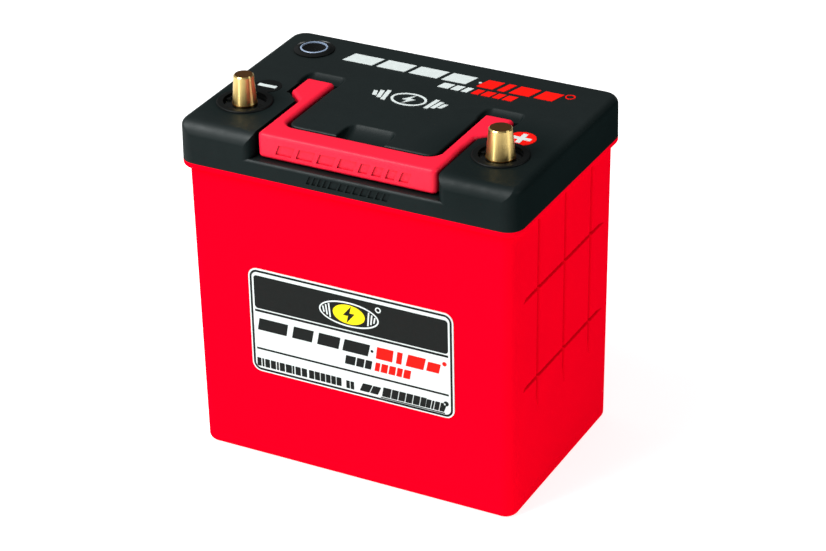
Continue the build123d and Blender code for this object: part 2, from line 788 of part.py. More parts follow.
# Front label, a thin plate that follows the lean of the case wall.
label_y = -(battery_depth / 2 - wall_inset(label_centre_z))
label_lean = Vector(0, -cover_bottom, shoulder_inset - foot_inset).normalized()
with BuildPart() as front_label:
    with BuildSketch(Plane(origin=(label_centre_x, label_y, label_centre_z), x_dir=(1, 0, 0),
                           z_dir=label_lean)):
        RectangleRounded(label_length, label_height, label_round)
    extrude(amount=label_thickness)
front_label.part.label = "front_label"
export_step(front_label.part, "parts/front_label.step")

# ---- push button, built up on the axis through (button_x, button_y)
button_axis = Axis((button_x, button_y, 0), (0, 0, 1))

with BuildPart() as button_seal:
    with BuildSketch(upright(button_x, button_y)):
        Polygon((barrel_radius, cover_top), (gasket_radius, cover_top), (gasket_radius, gasket_top),
                (barrel_radius, gasket_top), align=None)
    revolve(axis=button_axis)
button_seal.part.label = "button_seal"
export_step(button_seal.part, "parts/button_seal.step")

with BuildPart() as button_bezel:
    with BuildSketch(upright(button_x, button_y)):
        Polygon((bezel_bore, gasket_top), (bezel_radius, gasket_top), (bezel_radius, bezel_edge_top),
                (bezel_lip_radius, bezel_top), (bezel_bore, bezel_top), align=None)
    revolve(axis=button_axis)
    fillet(button_bezel.edges().group_by(Axis.Z)[-1].sort_by(SortBy.RADIUS)[-1], bezel_round)
button_bezel.part.label = "button_bezel"
export_step(button_bezel.part, "parts/button_bezel.step")

with BuildPart() as button_light_ring:
    with BuildSketch(upright(button_x, button_y)):
        Polygon((ring_bore, barrel_seat), (bezel_bore, barrel_seat), (bezel_bore, ring_top - ring_chamfer),
                (bezel_bore - ring_chamfer, ring_top), (ring_bore, ring_top), align=None)
    revolve(axis=button_axis)
button_light_ring.part.label = "button_light_ring"
export_step(button_light_ring.part, "parts/button_light_ring.step")

# The cap slides in the light ring, and its stem in the barrel.
with BuildPart() as button_cap:
    with BuildSketch(upright(button_x, button_y)):
        with BuildLine():
            Polyline((0, cap_top - cap_dish), (0, stem_bottom), (stem_radius, stem_bottom),
                     (stem_radius, cap_bottom), (cap_radius, cap_bottom),
                     (cap_radius, cap_top - cap_chamfer), (cap_radius - cap_chamfer, cap_top))
            TangentArc((0, cap_top - cap_dish), (cap_radius - cap_chamfer, cap_top), tangent=(1, 0))
        make_face()
    revolve(axis=button_axis)
button_cap.part.label = "button_cap"
export_step(button_cap.part, "parts/button_cap.step")

# Return spring between the barrel's seat and the cap.
with BuildPart() as button_spring:
    spring_floor = barrel_seat + spring_wire + spring_gap
    spring_height = cap_bottom - barrel_seat - 2 * (spring_wire + spring_gap)
    with BuildLine() as coil:
        Helix(spring_height / spring_turns, spring_height, spring_radius,
              center=(button_x, button_y, spring_floor))
    with BuildSketch(Plane(origin=coil.line @ 0, z_dir=coil.line % 0)):
        Circle(spring_wire)
    sweep(is_frenet=True)
button_spring.part.label = "button_spring"
export_step(button_spring.part, "parts/button_spring.step")

# Threaded barrel that holds the contacts.
with BuildPart() as button_barrel:
    with BuildSketch(upright(button_x, button_y)):
        Polygon((0, barrel_bottom), (barrel_radius, barrel_bottom), (barrel_radius, gasket_top),
                (bezel_bore, gasket_top), (bezel_bore, barrel_seat), (stem_bore, barrel_seat),
                (stem_bore, stem_bore_bottom), (0, stem_bore_bottom), align=None)
    revolve(axis=button_axis)
button_barrel.part.label = "button_barrel"
export_step(button_barrel.part, "parts/button_barrel.step")

with BuildPart() as button_nut:
    with BuildSketch(Plane.XY.offset(button_nut_bottom)):
        with Locations((button_x, button_y)):
            RegularPolygon(button_nut_radius, 6)
            Circle(barrel_radius, mode=Mode.SUBTRACT)
    extrude(amount=cover_top - cover_wall - button_nut_bottom)
button_nut.part.label = "button_nut"
export_step(button_nut.part, "parts/button_nut.step")

# ---- cells, front to back, with their terminals turned about in turn
for number in range(cell_count):
    cell_y = (number - (cell_count - 1) / 2) * cell_pitch
    with BuildPart() as cell:
        with Locations((0, cell_y, (cell_bottom + cell_top) / 2)):
            Box(cell_length, cell_thickness, cell_height)
        fillet(cell.edges().filter_by(Axis.Z), cell_round)
        with BuildSketch(Plane.XY.offset(cell_top - vent_depth)):
            with Locations((0, cell_y)):
                SlotOverall(vent_length, vent_width)
        extrude(amount=vent_depth, mode=Mode.SUBTRACT)
    cell.part.label = f"cell_{number + 1}"
    export_step(cell.part, f"parts/cell_{number + 1}.step")

cell_rows = [(number - (cell_count - 1) / 2) * cell_pitch for number in range(cell_count)]
terminal_places = [(side * terminal_x, row) for row in cell_rows for side in (-1, 1)]

with BuildPart() as cell_terminals:
    with BuildSketch(Plane.XY.offset(cell_top)):
        with Locations(*terminal_places):
            RectangleRounded(terminal_pad, terminal_pad, pad_corner)
    extrude(amount=terminal_pad_height)
    with BuildSketch(Plane.XY.offset(terminal_top)):
        with Locations(*terminal_places):
            Circle(stud_radius)
    extrude(amount=stud_top - terminal_top)
cell_terminals.part.label = "cell_terminals"
export_step(cell_terminals.part, "parts/cell_terminals.step")

with BuildPart() as cell_terminal_nuts:
    with BuildSketch(Plane.XY.offset(bar_top)):
        with Locations(*terminal_places):
            RegularPolygon(stud_nut_radius, 6)
            Circle(stud_radius, mode=Mode.SUBTRACT)
    extrude(amount=stud_nut_height)
cell_terminal_nuts.part.label = "cell_terminal_nuts"
export_step(cell_terminal_nuts.part, "parts/cell_terminal_nuts.step")

with BuildPart() as cell_spacers:
    for number in range(cell_count - 1):
        with Locations((0, (cell_rows[number] + cell_rows[number + 1]) / 2, (cell_bottom + cell_top) / 2)):
            Box(cell_length - 2 * cell_round, spacer_thickness, cell_height)
cell_spacers.part.label = "cell_spacers"
export_step(cell_spacers.part, "parts/cell_spacers.step")

# Bars that join neighbouring cells in series, left, right and left again.
with BuildPart() as busbars:
    with BuildSketch(Plane.XY.offset(terminal_top)):
        for number in range(cell_count - 1):
            bar_x = terminal_x if number % 2 else -terminal_x
            with Locations((bar_x, (cell_rows[number] + cell_rows[number + 1]) / 2)):
                RectangleRounded(bar_width, cell_pitch + bar_width, pad_corner)
        with Locations(*terminal_places):
            Circle(stud_radius, mode=Mode.SUBTRACT)
    extrude(amount=bar_thickness)
busbars.part.label = "busbars"
export_step(busbars.part, "parts/busbars.step")

with BuildPart() as cell_bands:
    for height in band_heights:
        with BuildSketch(Plane.XY.offset(height - band_width / 2)):
            RectangleRounded(cell_length + 2 * band_thickness, stack_depth + 2 * band_thickness,
                             cell_round + band_thickness)
            RectangleRounded(cell_length, stack_depth, cell_round, mode=Mode.SUBTRACT)
        extrude(amount=band_width)
cell_bands.part.label = "cell_bands"
export_step(cell_bands.part, "parts/cell_bands.step")

with BuildPart() as base_pad:
    with Locations((0, 0, floor_thickness + base_pad_height / 2)):
        Box(cell_length + end_pad_thickness, stack_depth - cell_round, base_pad_height)
base_pad.part.label = "base_pad"
export_step(base_pad.part, "parts/base_pad.step")

with BuildPart() as end_pads:
    for side in (-1, 1):
        with Locations((side * (cell_length / 2 + band_thickness + end_pad_thickness / 2), 0,
                        (cell_bottom + end_pad_top) / 2)):
            Box(end_pad_thickness, end_pad_depth, end_pad_top - cell_bottom)
end_pads.part.label = "end_pads"
export_step(end_pads.part, "parts/end_pads.step")

# ---- battery management electronics on a tray above the cells
standoff_places = [(side * standoff_x, y) for side in (-1, 1) for y in (standoff_front, standoff_back)]

with BuildPart() as cell_tray:
    with Locations((0, 0, (tray_bottom + tray_top) / 2)):
        Box(tray_length, tray_depth, tray_top - tray_bottom)
    fillet(cell_tray.edges().filter_by(Axis.Z), cell_round)
    with Locations(*[(x * tray_leg_x, y * tray_leg_y, (cell_top + tray_bottom) / 2)
                     for x in (-1, 1) for y in (-1, 1)]):
        Box(tray_leg, tray_leg, tray_bottom - cell_top)
    with BuildSketch(Plane.XY.offset(tray_bottom)):
        with GridLocations(tray_slot_pitch, 0, tray_slot_count, 1):
            SlotOverall(tray_slot_length, tray_slot_width, rotation=90)
    extrude(amount=tray_top - tray_bottom, mode=Mode.SUBTRACT)
    with Locations(*[(x, y, tray_top) for x, y in standoff_places]):
        Hole(board_screw_radius, tray_top - tray_bottom)
cell_tray.part.label = "cell_tray"
export_step(cell_tray.part, "parts/cell_tray.step")

with BuildPart() as bms_standoffs:
    with BuildSketch(Plane.XY.offset(tray_top)):
        with Locations(*standoff_places):
            RegularPolygon(standoff_radius, 6)
            Circle(board_screw_radius, mode=Mode.SUBTRACT)
    extrude(amount=board_bottom - tray_top)
bms_standoffs.part.label = "bms_standoffs"
export_step(bms_standoffs.part, "parts/bms_standoffs.step")

with BuildPart() as bms_board:
    with Locations((0, (board_front + board_back) / 2, (board_bottom + board_top) / 2)):
        Box(board_length, board_back - board_front, board_top - board_bottom)
    with Locations(*[(x, y, board_top) for x, y in standoff_places]):
        Hole(board_screw_radius, board_top - board_bottom)
bms_board.part.label = "bms_board"
export_step(bms_board.part, "parts/bms_board.step")

with BuildPart() as bms_screws:
    with BuildSketch(Plane.XY.offset(tray_bottom)):
        with Locations(*standoff_places):
            Circle(board_screw_radius)
    extrude(amount=board_top - tray_bottom)
    with BuildSketch(Plane.XY.offset(board_top)):
        with Locations(*standoff_places):
            Circle(board_screw_head)
    extrude(amount=board_screw_head_height)
bms_screws.part.label = "bms_screws"
export_step(bms_screws.part, "parts/bms_screws.step")

with BuildPart() as bms_transistors:
    with BuildSketch(Plane.XY.offset(board_top)):
        with GridLocations(transistor_pitch_x, transistor_pitch_y, transistors_per_row, transistor_rows):
            Rectangle(transistor_width, transistor_depth)
    extrude(amount=transistor_height)
bms_transistors.part.label = "bms_transistors"
export_step(bms_transistors.part, "parts/bms_transistors.step")

with BuildPart() as bms_heat_sink:
    sink_bottom = board_top + transistor_height
    with Locations((0, 0, sink_bottom + heat_sink_base / 2)):
        Box(heat_sink_length, heat_sink_depth, heat_sink_base)
    with BuildSketch(Plane.XY.offset(sink_bottom + heat_sink_base)):
        with GridLocations((heat_sink_length - fin_thickness) / (fin_count - 1), 0, fin_count, 1):
            Rectangle(fin_thickness, heat_sink_depth)
    extrude(amount=fin_height)
bms_heat_sink.part.label = "bms_heat_sink"
export_step(bms_heat_sink.part, "parts/bms_heat_sink.step")

# Copper strap from the first cell's free terminal up to the positive post.
with BuildPart() as positive_strap:
    with BuildSketch(Plane.XY.offset(terminal_top)):
        with Locations(((terminal_x - bar_width / 2 + riser_x) / 2, cell_rows[0])):
            Rectangle(riser_x - terminal_x + bar_width / 2, bar_width)
        with Locations((terminal_x, cell_rows[0])):
            Circle(stud_radius, mode=Mode.SUBTRACT)
    extrude(amount=strap_thickness)
    with Locations((riser_x - strap_thickness / 2, cell_rows[0] + strap_shift,
                    (terminal_top + washer_bottom) / 2)):
        Box(strap_thickness, bar_width, washer_bottom - terminal_top)
    with BuildSketch(Plane.XY.offset(lug_bottom)):
        with Locations(((positive_x - lug_reach + riser_x) / 2, (cell_rows[0] + post_y) / 2 + lug_shift)):
            Rectangle(riser_x - positive_x + lug_reach, lug_width)
        with Locations((positive_x, post_y)):
            Circle(shank_radius, mode=Mode.SUBTRACT)
    extrude(amount=strap_thickness)
positive_strap.part.label = "positive_strap"
export_step(positive_strap.part, "parts/positive_strap.step")

# Copper strap from the board's output pad up to the negative post.
with BuildPart() as negative_strap:
    with Locations(((-riser_x - board_pad_x) / 2, output_y, board_top + strap_thickness / 2)):
        Box(riser_x - board_pad_x, bar_width, strap_thickness)
    with Locations((-riser_x + strap_thickness / 2, output_y, (board_top + washer_bottom) / 2)):
        Box(strap_thickness, bar_width, washer_bottom - board_top)
    with BuildSketch(Plane.XY.offset(lug_bottom)):
        with Locations(((negative_x + lug_reach - riser_x) / 2, (output_y + post_y) / 2)):
            Rectangle(riser_x + negative_x + lug_reach, lug_width)
        with Locations((negative_x, post_y)):
            Circle(shank_radius, mode=Mode.SUBTRACT)
    extrude(amount=strap_thickness)
negative_strap.part.label = "negative_strap"
export_step(negative_strap.part, "parts/negative_strap.step")

# Copper strap from the last cell's free terminal up and over the board's edge.
with BuildPart() as bms_input_strap:
    with BuildSketch(Plane.XY.offset(terminal_top)):
        with Locations((terminal_x, (cell_rows[-1] - bar_width / 2 + input_riser_y) / 2)):
            Rectangle(bar_width, input_riser_y - cell_rows[-1] + bar_width / 2)
        with Locations((terminal_x, cell_rows[-1])):
            Circle(stud_radius, mode=Mode.SUBTRACT)
    extrude(amount=strap_thickness)
    with Locations((terminal_x, input_riser_y - strap_thickness / 2, (terminal_top + strap_top) / 2)):
        Box(bar_width, strap_thickness, strap_top - terminal_top)
    with Locations(((terminal_x + bar_width / 2 + board_pad_x) / 2, input_riser_y - bar_width / 2,
                    board_top + strap_thickness / 2)):
        Box(terminal_x + bar_width / 2 - board_pad_x, bar_width, strap_thickness)
bms_input_strap.part.label = "bms_input_strap"
export_step(bms_input_strap.part, "parts/bms_input_strap.step")

# Voltage sense wires: one from the positive strap and one from each bus bar,
# each up to its own socket at the board's edge.
sense_places = [(1, cell_rows[0] + sense_shift)]
sense_places += [((-1, 1, -1)[number], (cell_rows[number] + cell_rows[number + 1]) / 2)
                 for number in range(cell_count - 1)]

with BuildPart() as sense_sockets:
    with BuildSketch(Plane.XY.offset(board_top)):
        with Locations(*[(side * (board_length / 2 - socket_length / 2), y) for side, y in sense_places]):
            Rectangle(socket_length, socket_width)
    extrude(amount=socket_height)
sense_sockets.part.label = "sense_sockets"
export_step(sense_sockets.part, "parts/sense_sockets.step")


def lead(points, bend):
    """Insulated wire through the points, with every corner rounded."""
    with BuildPart() as wire:
        with BuildLine() as route:
            FilletPolyline(*points, radius=bend)
        with BuildSketch(Plane(origin=route.line @ 0, z_dir=route.line % 0)):
            Circle(lead_radius)
        sweep()
    return wire.part


with BuildPart() as sense_leads:
    for side, y in sense_places:
        add(lead([(side * sense_x, y, bar_top), (side * sense_x, y, sense_z),
                  (side * board_length / 2, y, sense_z)], lead_bend))
sense_leads.part.label = "sense_leads"
export_step(sense_leads.part, "parts/sense_leads.step")

with BuildPart() as button_socket:
    with Locations((-button_socket_x, button_y, board_top + socket_height)):
        Box(socket_width, socket_width, 2 * socket_height)
button_socket.part.label = "button_socket"
export_step(button_socket.part, "parts/button_socket.step")

with BuildPart() as button_leads:
    for step in (-1, 1):
        lead_z = board_top + socket_height + step * button_lead_gap
        lead_x = button_x + step * button_lead_gap
        add(lead([(lead_x, button_y, barrel_bottom), (lead_x, button_y, lead_z),
                  (-button_socket_x - socket_width / 2, button_y, lead_z)], button_lead_bend))
button_leads.part.label = "button_leads"
export_step(button_leads.part, "parts/button_leads.step")
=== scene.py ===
import json
import math
import bpy
from mathutils import Matrix, Vector


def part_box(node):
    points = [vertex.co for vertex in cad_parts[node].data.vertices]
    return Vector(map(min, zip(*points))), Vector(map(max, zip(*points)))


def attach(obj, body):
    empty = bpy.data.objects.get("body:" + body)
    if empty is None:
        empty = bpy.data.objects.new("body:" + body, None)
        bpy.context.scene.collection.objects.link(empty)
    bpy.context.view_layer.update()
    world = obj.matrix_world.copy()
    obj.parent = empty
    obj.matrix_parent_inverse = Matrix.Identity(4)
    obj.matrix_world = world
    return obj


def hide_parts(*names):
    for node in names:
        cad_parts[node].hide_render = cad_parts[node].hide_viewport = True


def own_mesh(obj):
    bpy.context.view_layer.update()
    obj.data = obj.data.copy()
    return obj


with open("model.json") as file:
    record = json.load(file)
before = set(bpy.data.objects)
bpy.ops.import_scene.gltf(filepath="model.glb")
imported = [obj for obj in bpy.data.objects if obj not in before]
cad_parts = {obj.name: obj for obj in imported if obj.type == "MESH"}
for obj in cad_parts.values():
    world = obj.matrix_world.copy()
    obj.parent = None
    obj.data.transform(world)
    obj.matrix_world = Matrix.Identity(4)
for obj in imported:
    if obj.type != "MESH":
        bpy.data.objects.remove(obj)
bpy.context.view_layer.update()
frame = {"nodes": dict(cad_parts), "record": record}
scene = bpy.context.scene
MM = 0.001


# ---------------------------------------------------------------- colours and node helpers
def srgb(red, green, blue):
    """Linear colour from 0-255 display values."""
    def linear(v):
        v /= 255.0
        return v / 12.92 if v <= 0.04045 else ((v + 0.055) / 1.055) ** 2.4
    return (linear(red), linear(green), linear(blue), 1.0)


def scaled(colour, factor):
    """The colour, lighter or darker by a factor."""
    return tuple(min(1.0, c * factor) for c in colour[:3]) + (1.0,)


# Linear colours
CASE_RED = (0.93, 0.0001, 0.012, 1.0)
HANDLE_RED = (0.96, 0.013, 0.044, 1.0)
COVER_BLACK = (0.0054, 0.0096, 0.0096, 1.0)
BRASS = (0.96, 0.67, 0.25, 1.0)
# Darker brown of the posts' flat tips: painted shade.
BRASS_TIP_SHADE = (0.40, 0.17, 0.04, 1.0)
COPPER = (0.82, 0.40, 0.24, 1.0)
STEEL = (0.60, 0.60, 0.58, 1.0)
ALUMINIUM = (0.80, 0.80, 0.79, 1.0)
ANODISED = (0.28, 0.29, 0.31, 1.0)
CELL_BLUE = (0.02, 0.09, 0.42, 1.0)
TAPE_YELLOW = (0.72, 0.46, 0.06, 1.0)
MASK_GREEN = (0.012, 0.16, 0.05, 1.0)
MASK_GREEN_LIGHT = (0.016, 0.19, 0.06, 1.0)
TRACE_GREEN = (0.05, 0.30, 0.12, 1.0)

# Linear colours worked out from display values
CUP_BLACK = srgb(9, 11, 11)
CAP_BLACK = srgb(4, 4, 5)
DISC_BLACK = srgb(4, 5, 5)
OXIDE_BLACK = srgb(60, 60, 58)
RUBBER_BLACK = srgb(24, 24, 24)
PACKAGE_BLACK = srgb(34, 34, 35)
FOAM_GREY = srgb(82, 83, 86)
TRAY_GREY = srgb(120, 122, 124)
SOCKET_WHITE = srgb(228, 224, 208)
RING_BLUE = srgb(150, 165, 190)
LEAD_RED = srgb(200, 30, 24)
LEAD_BLUE = srgb(28, 58, 170)
INK_RED = srgb(252, 24, 16)
INK_WHITE = srgb(216, 221, 219)
INK_BLACK = srgb(27, 29, 28)
FILM_WHITE = srgb(220, 226, 224)
YELLOW = srgb(246, 222, 30)

# Scales of the slow patterns, per metre
DRIFT_SCALE = 28.0
RIPPLE_SCALE = 45.0
GLOSS_SCALE = 160.0


class Surface:
    """A node material built step by step on a Principled shader."""

    def __init__(self, name, roughness=0.5, metallic=0.0, specular=0.5):
        self.mat = bpy.data.materials.new(name)
        self.mat.use_nodes = True
        self.tree = self.mat.node_tree
        self.shader = self.tree.nodes["Principled BSDF"]
        self.shader.inputs["Metallic"].default_value = metallic
        self.shader.inputs["Roughness"].default_value = roughness
        self.shader.inputs["Specular IOR Level"].default_value = specular
        self.place = self.node("ShaderNodeTexCoord").outputs["Object"]
        self.normal = None

    def node(self, kind, **values):
        """A new node of that kind, with its properties set."""
        made = self.tree.nodes.new(kind)
        for key, value in values.items():
            setattr(made, key, value)
        return made

    def link(self, source, target):
        """Joins an output socket to an input socket."""
        self.tree.links.new(source, target)

    def set(self, name, value):
        """One value for the whole surface on a socket of the shader."""
        self.shader.inputs[name].default_value = value

    def stretched(self, scale):
        """Object coordinates in metres, stretched by the three factors."""
        mapping = self.node("ShaderNodeMapping")
        mapping.inputs["Scale"].default_value = scale
        self.link(self.place, mapping.inputs["Vector"])
        return mapping.outputs["Vector"]

    def noise(self, scale, detail=3.0, stretch=None, rough=0.5):
        """Noise of that scale per metre, about 0.3 to 0.7."""
        noise = self.node("ShaderNodeTexNoise")
        noise.inputs["Scale"].default_value = scale
        noise.inputs["Detail"].default_value = detail
        noise.inputs["Roughness"].default_value = rough
        where = self.stretched(stretch) if stretch else self.place
        self.link(where, noise.inputs["Vector"])
        return noise.outputs["Fac"]

    def cells(self, scale):
        """Distance to the nearest of many scattered points, for a pebbled texture."""
        cells = self.node("ShaderNodeTexVoronoi", feature="F1")
        cells.inputs["Scale"].default_value = scale
        self.link(self.place, cells.inputs["Vector"])
        return cells.outputs["Distance"]

    def along(self, axis):
        """Position along an axis of the row frame, in metres."""
        axes = self.node("ShaderNodeSeparateXYZ")
        self.link(self.place, axes.inputs["Vector"])
        return axes.outputs[axis]

    def product(self, first, second):
        """Two values multiplied."""
        times = self.node("ShaderNodeMath", operation="MULTIPLY")
        self.link(first, times.inputs[0])
        self.link(second, times.inputs[1])
        return times.outputs["Value"]

    def crevice_shade(self, colour, reach, depth):
        """The colour with painted shade, darker down to the factor depth where walls closer than reach
        crowd in.
        """
        # Ambient occlusion finds the tight corners that get painted shade.
        dark = self.node("ShaderNodeAmbientOcclusion", samples=8)
        dark.inputs["Distance"].default_value = reach
        shade = self.remap(dark.outputs["AO"], 0.0, 1.0, from_low=0.35, from_high=0.95)
        return self.blend(shade, self.tinted(colour, depth), colour)

    def tinted(self, colour, factor):
        """A colour socket times a factor."""
        mix = self.node("ShaderNodeVectorMath", operation="SCALE")
        mix.inputs["Scale"].default_value = factor
        self.link(colour, mix.inputs[0])
        return mix.outputs["Vector"]

    def facing(self, axis):
        """How far the surface faces along an axis of the row frame, -1 to 1."""
        axes = self.node("ShaderNodeSeparateXYZ")
        self.link(self.node("ShaderNodeTexCoord").outputs["Normal"], axes.inputs["Vector"])
        return axes.outputs[axis]

    def nearness(self, point, inner, outer):
        """1 within inner of a point, falling to 0 at outer, in metres."""
        gap = self.node("ShaderNodeVectorMath", operation="DISTANCE")
        gap.inputs[1].default_value = point
        self.link(self.place, gap.inputs[0])
        return self.remap(gap.outputs["Value"], 1.0, 0.0, inner, outer)

    def specular(self, value):
        """Lets a value drive how strongly the surface reflects."""
        self.link(value, self.shader.inputs["Specular IOR Level"])
        return self

    def remap(self, value, low, high, from_low=0.3, from_high=0.7):
        """The value taken from one range to another; the first range suits a noise."""
        remap = self.node("ShaderNodeMapRange")
        remap.inputs["From Min"].default_value = from_low
        remap.inputs["From Max"].default_value = from_high
        remap.inputs["To Min"].default_value = low
        remap.inputs["To Max"].default_value = high
        self.link(value, remap.inputs["Value"])
        return remap.outputs["Result"]

    def blend(self, factor, first, second):
        """Colour mix; first and second are colours or sockets."""
        mix = self.node("ShaderNodeMix", data_type="RGBA")
        self.link(factor, mix.inputs["Factor"])
        for value, socket in ((first, mix.inputs["A"]), (second, mix.inputs["B"])):
            sockets = [s for s in mix.inputs if s.name == socket.name and s.type == "RGBA"]
            if isinstance(value, tuple):
                sockets[0].default_value = value
            else:
                self.link(value, sockets[0])
        return [s for s in mix.outputs if s.type == "RGBA"][0]

    def colour(self, value):
        """Lets a colour socket drive the base colour."""
        self.link(value, self.shader.inputs["Base Color"])
        return self

    def rough(self, value):
        """Lets a value drive the roughness."""
        self.link(value, self.shader.inputs["Roughness"])
        return self

    def bump(self, height, distance, strength=1.0):
        """Adds a bump of that height in metres on top of those before it."""
        bump = self.node("ShaderNodeBump")
        bump.inputs["Strength"].default_value = strength
        bump.inputs["Distance"].default_value = distance
        self.link(height, bump.inputs["Height"])
        if self.normal:
            self.link(self.normal, bump.inputs["Normal"])
        self.normal = bump.outputs["Normal"]
        self.link(self.normal, self.shader.inputs["Normal"])
        return self


def moulded(name, colour, roughness, specular, grain=1400.0, depth=0.00003, mottle=0.06, crevice_shade=0.0):
    """Moulded plastic: fine grain, slow colour drift, uneven gloss, painted shade in crevices if asked.

    grain is the grain's scale per metre and depth its height in metres; mottle is how far the
    colour drifts, and the crevice shade argument is the colour's factor for painted shade in a tight
    corner, or 0 for none.
    """
    s = Surface(name, roughness, 0.0, specular)
    drift = s.remap(s.noise(DRIFT_SCALE, 4.0), 0.0, 1.0)
    tone = s.blend(drift, scaled(colour, 1.0 - mottle), scaled(colour, 1.0 + mottle))
    # Painted shade: ambient occlusion darkens the colour in crevices.
    s.colour(s.crevice_shade(tone, 2.5 * MM, crevice_shade) if crevice_shade else tone)
    s.rough(s.remap(s.noise(GLOSS_SCALE, 5.0, rough=0.65), roughness * 0.86, roughness * 1.14))
    s.bump(s.noise(grain, 2.0), depth, 0.6)
    s.bump(s.noise(RIPPLE_SCALE, 1.0), depth * 4.0, 0.35)
    return s


# Bands over which a finish changes, from one end to the other, in metres
HOLLOW_Z = (0.1840, 0.1858)
BEHIND_GRIP_Y = (-0.050, -0.046)
CUP_RIM_Z = (0.1852, 0.1858)
CUPS_Y = (0.0, 0.001)
# Band below which the posts' feet are painted dark as shade
POST_FOOT_SHADE_Z = (0.18590, 0.18605)

# How far a surface faces up where a post's wall turns into its flat tip
TIP_FACING = (0.75, 0.9)

# The cover's sheen fades out round each post: node, radius of full effect, radius of none
DULL_ROUND_POSTS = (("negative_post", 0.014, 0.030), ("positive_post", 0.026, 0.046))


def cover_moulding():
    """Black cover: a soft sheen, duller on walls, in hollows and round the posts, with painted shade in
    crevices.
    """
    s = moulded("cover_black", COVER_BLACK, roughness=0.50, specular=0.22, grain=1700.0,
                depth=0.00003, mottle=0.08, crevice_shade=0.35)
    sheen = s.remap(s.facing("Z"), 0.07, 0.26, from_low=0.08, from_high=0.5)
    ends = s.node("ShaderNodeMath", operation="ABSOLUTE")
    s.link(s.facing("X"), ends.inputs[0])
    sheen = s.product(sheen, s.remap(ends.outputs["Value"], 1.0, 0.0, from_low=0.35, from_high=0.85))
    below_top = s.remap(s.along("Z"), 1.0, 0.0, *HOLLOW_Z)
    behind_grip = s.remap(s.along("Y"), 0.0, 1.0, *BEHIND_GRIP_Y)
    hollow = s.product(below_top, behind_grip)
    sheen = s.product(sheen, s.remap(hollow, 1.0, 0.45, from_low=0.0, from_high=1.0))
    for post, inner, outer in DULL_ROUND_POSTS:
        low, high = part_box(post)
        foot = ((low.x + high.x) / 2, (low.y + high.y) / 2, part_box("cover")[1].z)
        near = s.nearness(foot, inner, outer)
        sheen = s.product(sheen, s.remap(near, 1.0, 0.3, from_low=0.0, from_high=1.0))
    s.specular(sheen)
    return s


def metal(name, colour, roughness, stretch=(1.0, 1.0, 1.0), scratch=900.0, depth=0.00001):
    """Bare metal; fine drawn lines run along an axis whose factor in stretch is below 1."""
    s = Surface(name, roughness, 1.0)
    tone = s.remap(s.noise(90.0, 4.0), 0.0, 1.0)
    s.colour(s.blend(tone, scaled(colour, 0.88), scaled(colour, 1.08)))
    lines = s.noise(scratch, 4.0, stretch, 0.7)
    s.rough(s.remap(lines, roughness * 0.7, roughness * 1.4))
    s.bump(lines, depth, 0.5)
    return s


def printed(name, colour, roughness=0.45, specular=0.3):
    """Printed ink or film with a faint roller texture."""
    s = Surface(name, roughness, 0.0, specular)
    patch = s.remap(s.noise(420.0, 3.0), 0.0, 1.0)
    s.colour(s.blend(patch, scaled(colour, 0.95), scaled(colour, 1.03)))
    s.rough(s.remap(s.noise(700.0, 2.0), roughness * 0.85, roughness * 1.15))
    s.bump(s.cells(2600.0), 0.000006, 0.5)
    return s


def turned_brass():
    """Turned brass: fine rings round the upright axis, a foot painted dark as shade and a flat tip
    painted a darker brown as shade.
    """
    s = Surface("brass_turned", metallic=1.0)
    rings = s.noise(1.0, 3.0, stretch=(40.0, 40.0, 4200.0), rough=0.7)
    patch = s.remap(s.noise(240.0, 4.0, stretch=(1.0, 1.0, 0.35)), 0.0, 1.0)
    tone = s.blend(patch, scaled(BRASS, 0.84), scaled(BRASS, 1.08))
    # Painted shade: the foot, below the cover's top, turns nearly black, and the flat tip a darker
    # brown.
    foot = s.remap(s.along("Z"), 1.0, 0.0, *POST_FOOT_SHADE_Z)
    tip = s.remap(s.facing("Z"), 0.0, 1.0, *TIP_FACING)
    shaded = s.blend(foot, tone, scaled(BRASS, 0.10))
    s.colour(s.blend(tip, shaded, BRASS_TIP_SHADE))
    s.rough(s.remap(rings, 0.27, 0.36))
    s.bump(rings, 0.00001, 0.5)
    round_axis = s.node("ShaderNodeTangent", direction_type="RADIAL", axis="Z")
    s.link(round_axis.outputs["Tangent"], s.shader.inputs["Tangent"])
    turned = s.remap(s.facing("Z"), 0.92, 0.0, *TIP_FACING)
    s.link(turned, s.shader.inputs["Anisotropic"])
    s.set("Anisotropic Rotation", 0.25)
    return s


def cup_black():
    """Black moulding: matt on the cups' rims, polished on their floors and on the bezel."""
    s = moulded("gloss_black", CUP_BLACK, roughness=0.14, specular=0.4, grain=900.0,
                depth=0.000006, mottle=0.05)
    above_floor = s.remap(s.along("Z"), 0.0, 1.0, *CUP_RIM_Z)
    beside_posts = s.remap(s.along("Y"), 1.0, 0.0, *CUPS_Y)
    rim = s.product(above_floor, beside_posts)
    s.rough(s.remap(rim, 0.13, 0.5, from_low=0.0, from_high=1.0))
    s.specular(s.remap(rim, 0.25, 0.15, from_low=0.0, from_high=1.0))
    return s


def board_green():
    """Solder mask with copper traces showing through."""
    s = Surface("board_green")
    brick = s.node("ShaderNodeTexBrick")
    brick.inputs["Scale"].default_value = 90.0
    brick.inputs["Mortar Size"].default_value = 0.06
    brick.inputs["Color1"].default_value = MASK_GREEN
    brick.inputs["Color2"].default_value = MASK_GREEN_LIGHT
    brick.inputs["Mortar"].default_value = TRACE_GREEN
    s.link(s.place, brick.inputs["Vector"])
    s.colour(brick.outputs["Color"])
    s.rough(s.remap(s.noise(300.0), 0.26, 0.4))
    s.bump(brick.outputs["Fac"], 0.00003, 0.5)
    return s


